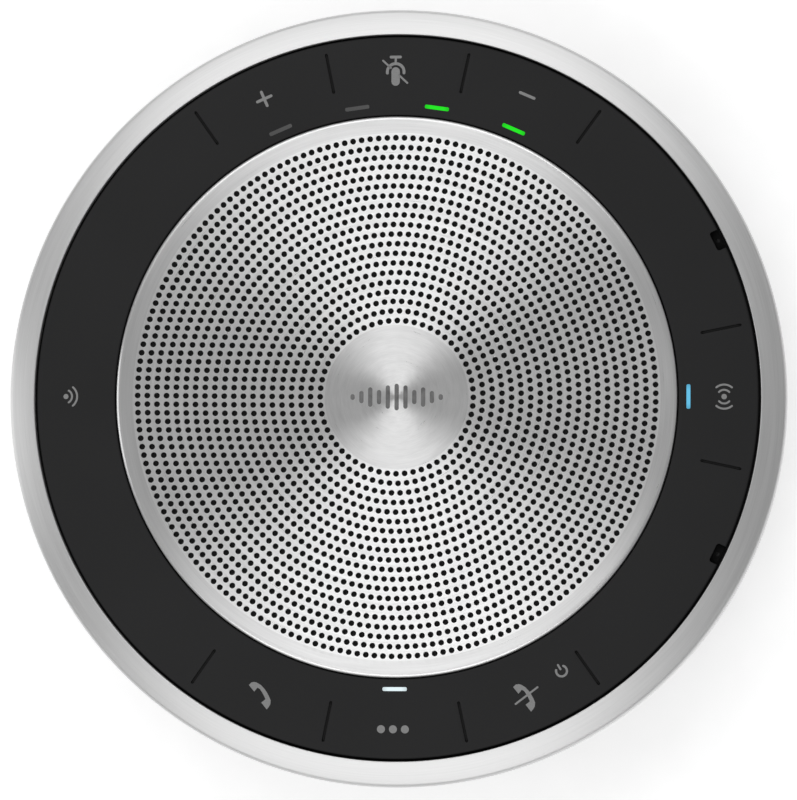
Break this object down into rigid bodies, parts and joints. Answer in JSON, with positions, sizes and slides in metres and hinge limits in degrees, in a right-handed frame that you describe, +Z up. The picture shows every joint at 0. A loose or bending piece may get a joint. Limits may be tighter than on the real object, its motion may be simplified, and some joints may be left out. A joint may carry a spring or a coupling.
{
  "type": "conference speakerphone",
  "caption": "Low round desk speakerphone: dished metal grille, black ring of press keys with light bars, metal rim and a bowl-shaped black housing on a rubber foot ring.",
  "frame": {"origin": "centre of the table surface under the foot ring", "axes": "+Z up along the unit's axis; +X towards the wireless key; +Y towards the mute key and the USB-C port"},
  "size_m": [0.12, 0.12, 0.033],
  "materials": {
    "rim_metal": "brushed round the axis, satin",
    "grille_metal": "brushed and perforated, satin",
    "soft_touch_black": "fine matte soft-touch skin",
    "housing_black": "fine spark-eroded texture",
    "inner_plastic": "plain moulded",
    "light_window": "smoked diffusing plastic",
    "rubber": "matte",
    "acoustic_cloth": "fine weave",
    "steel": "zinc plated",
    "magnet": "nickel plated",
    "copper": "enamelled copper",
    "cone_paper": "pulp with a light sheen",
    "board": "solder mask",
    "battery_wrap": "foil pouch",
    "shield": "tinned"
  },
  "bodies": {
    "housing": {"answer_dome": "steel", "audio_processor": "inner_plastic", "battery": "battery_wrap", "battery_pad": "rubber", "board_flex": "copper", "control_ring": "soft_touch_black", "driver_basket": "inner_plastic", "driver_gasket": "rubber", "driver_magnet": "magnet", "driver_pole_plate": "steel", "driver_screw_1": "steel", "driver_screw_2": "steel", "driver_screw_3": "steel", "driver_screw_4": "steel", "driver_spider": "acoustic_cloth", "driver_surround": "rubber", "driver_yoke": "steel", "end_call_dome": "steel", "foot_ring": "rubber", "grille_cloth": "acoustic_cloth", "housing_screw_1": "steel", "housing_screw_2": "steel", "housing_screw_3": "steel", "housing_screw_4": "steel", "light_window_menu": "light_window", "light_window_mute_left": "light_window", "light_window_mute_right": "light_window", "light_window_volume_down": "light_window", "light_window_volume_up": "light_window", "light_window_wireless": "light_window", "lower_housing": "housing_black", "main_board": "board", "menu_dome": "steel", "metal_rim": "rim_metal", "mic_boot_front": "rubber", "mic_boot_rear": "rubber", "microphone_front": "shield", "microphone_rear": "shield", "mute_dome": "steel", "speaker_grille": "grille_metal", "switch_board": "board", "tap_antenna": "copper", "top_chassis": "inner_plastic", "usb_receptacle": "steel", "volume_down_dome": "steel", "volume_up_dome": "steel", "wireless_dome": "steel", "wireless_module": "shield"},
    "diaphragm": {"driver_cone": "cone_paper", "driver_dust_cap": "cone_paper", "voice_coil": "copper"},
    "volume_up_button": {"volume_up_key": "soft_touch_black"},
    "mute_button": {"mute_key": "soft_touch_black"},
    "volume_down_button": {"volume_down_key": "soft_touch_black"},
    "wireless_button": {"wireless_key": "soft_touch_black"},
    "answer_button": {"answer_key": "soft_touch_black"},
    "menu_button": {"menu_key": "soft_touch_black"},
    "end_call_button": {"end_call_key": "soft_touch_black"}
  },
  "joints": [
    {"name": "cone_travel", "type": "slide", "parent": "housing", "child": "diaphragm", "axis": [0, 0, 1], "range_m": [-0.001, 0.001], "stiffness_N_per_m": 1200, "deforming": ["driver_surround", "driver_spider"]},
    {"name": "volume_up_press", "type": "slide", "parent": "housing", "child": "volume_up_button", "axis": [0, 0, -1], "range_m": [0, 0.0004], "stiffness_N_per_m": 4000, "deforming": ["volume_up_dome"]},
    {"name": "mute_press", "type": "slide", "parent": "housing", "child": "mute_button", "axis": [0, 0, -1], "range_m": [0, 0.0004], "stiffness_N_per_m": 4000, "deforming": ["mute_dome"]},
    {"name": "volume_down_press", "type": "slide", "parent": "housing", "child": "volume_down_button", "axis": [0, 0, -1], "range_m": [0, 0.0004], "stiffness_N_per_m": 4000, "deforming": ["volume_down_dome"]},
    {"name": "wireless_press", "type": "slide", "parent": "housing", "child": "wireless_button", "axis": [0, 0, -1], "range_m": [0, 0.0004], "stiffness_N_per_m": 4000, "deforming": ["wireless_dome"]},
    {"name": "answer_press", "type": "slide", "parent": "housing", "child": "answer_button", "axis": [0, 0, -1], "range_m": [0, 0.0004], "stiffness_N_per_m": 4000, "deforming": ["answer_dome"]},
    {"name": "menu_press", "type": "slide", "parent": "housing", "child": "menu_button", "axis": [0, 0, -1], "range_m": [0, 0.0004], "stiffness_N_per_m": 4000, "deforming": ["menu_dome"]},
    {"name": "end_call_press", "type": "slide", "parent": "housing", "child": "end_call_button", "axis": [0, 0, -1], "range_m": [0, 0.0004], "stiffness_N_per_m": 4000, "deforming": ["end_call_dome"]}
  ]
}
